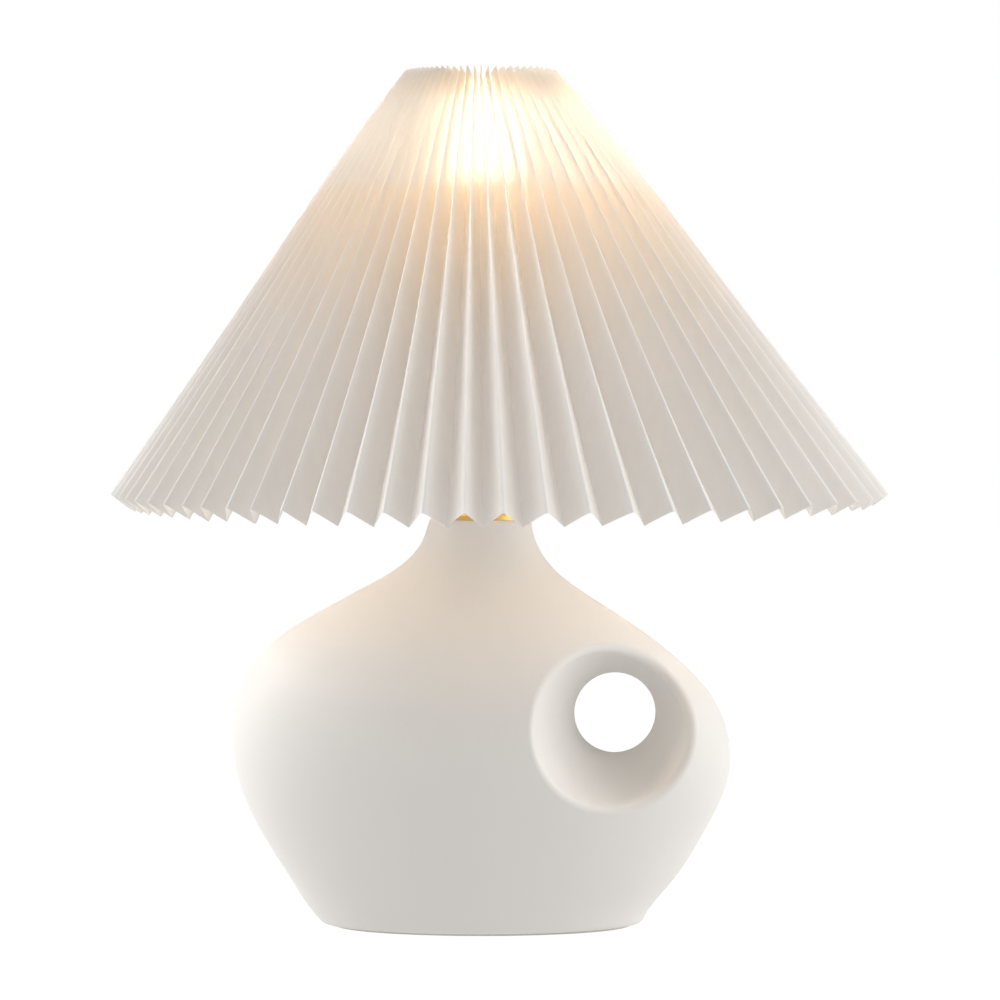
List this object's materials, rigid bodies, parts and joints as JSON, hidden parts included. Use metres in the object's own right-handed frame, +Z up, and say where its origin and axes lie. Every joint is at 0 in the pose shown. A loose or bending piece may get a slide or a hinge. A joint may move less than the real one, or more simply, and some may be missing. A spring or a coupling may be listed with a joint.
{
  "type": "ceramic table lamp",
  "caption": "Flattened asymmetric ceramic vase lamp with a flared through hole, brass neck cap, lampholder with bulb and a wide pleated cone shade.",
  "frame": {"origin": "middle of the base on the surface that the lamp stands on, under the axis of the neck and lampholder", "axes": "+Z up, +X to the side of the hole, -Y to the front, +Y to the back where the cord leaves"},
  "size_m": [0.5026, 0.5026, 0.556],
  "materials": {
    "ceramic": "matt unglazed",
    "felt": "pressed felt",
    "bush_plastic": "moulded",
    "zinc_steel": "zinc plated",
    "gasket_rubber": "matt",
    "brass": "satin",
    "contact_brass": "plain",
    "holder_plastic": "moulded",
    "ring_plastic": "moulded",
    "bulb_nickel": "plated",
    "bulb_housing": "smooth",
    "bulb_diffuser": "frosted, lit",
    "white_wire": "powder coated",
    "shade_cloth": "pleated, translucent"
  },
  "bodies": {
    "base": {"base_pad": "felt", "ceramic_body": "ceramic", "cord_bush": "bush_plastic", "lamp_pipe": "zinc_steel", "base_gasket": "gasket_rubber", "base_washer": "zinc_steel", "base_lock_washer": "zinc_steel", "base_nut": "zinc_steel", "neck_cap": "brass", "neck_collar": "brass", "riser_tube": "brass", "holder_cup": "brass", "holder_locknut": "zinc_steel", "holder_sleeve": "holder_plastic", "holder_liner": "holder_plastic", "switch_block": "holder_plastic", "terminal_screws": "contact_brass", "screw_shell": "contact_brass", "centre_contact": "contact_brass"},
    "knob": {"switch_shaft": "contact_brass", "switch_knob": "holder_plastic"},
    "ring": {"shade_ring": "ring_plastic"},
    "shade": {"shade_fitter": "white_wire", "shade_arm_1": "white_wire", "shade_arm_2": "white_wire", "shade_arm_3": "white_wire", "shade_arm_4": "white_wire", "shade_top_ring": "white_wire", "pleated_shade": "shade_cloth"},
    "bulb": {"bulb_contact": "contact_brass", "bulb_insulator": "holder_plastic", "bulb_thread": "bulb_nickel", "bulb_neck": "bulb_housing", "bulb_dome": "bulb_diffuser"}
  },
  "joints": [
    {"name": "switch_turn", "type": "hinge", "parent": "base", "child": "knob", "pos_m": [0.024, 0, 0.4135], "axis": [1, 0, 0], "continuous": true},
    {"name": "shade_ring_turn", "type": "hinge", "parent": "base", "child": "ring", "pos_m": [0, 0, 0.435], "axis": [0, 0, 1], "range_deg": [0, 1080]},
    {"name": "shade_turn", "type": "hinge", "parent": "base", "child": "shade", "pos_m": [0, 0, 0.43], "axis": [0, 0, 1], "continuous": true},
    {"name": "bulb_lift", "type": "slide", "parent": "base", "child": "bulb", "axis": [0, 0, 1], "range_m": [0, 0.15]}
  ]
}
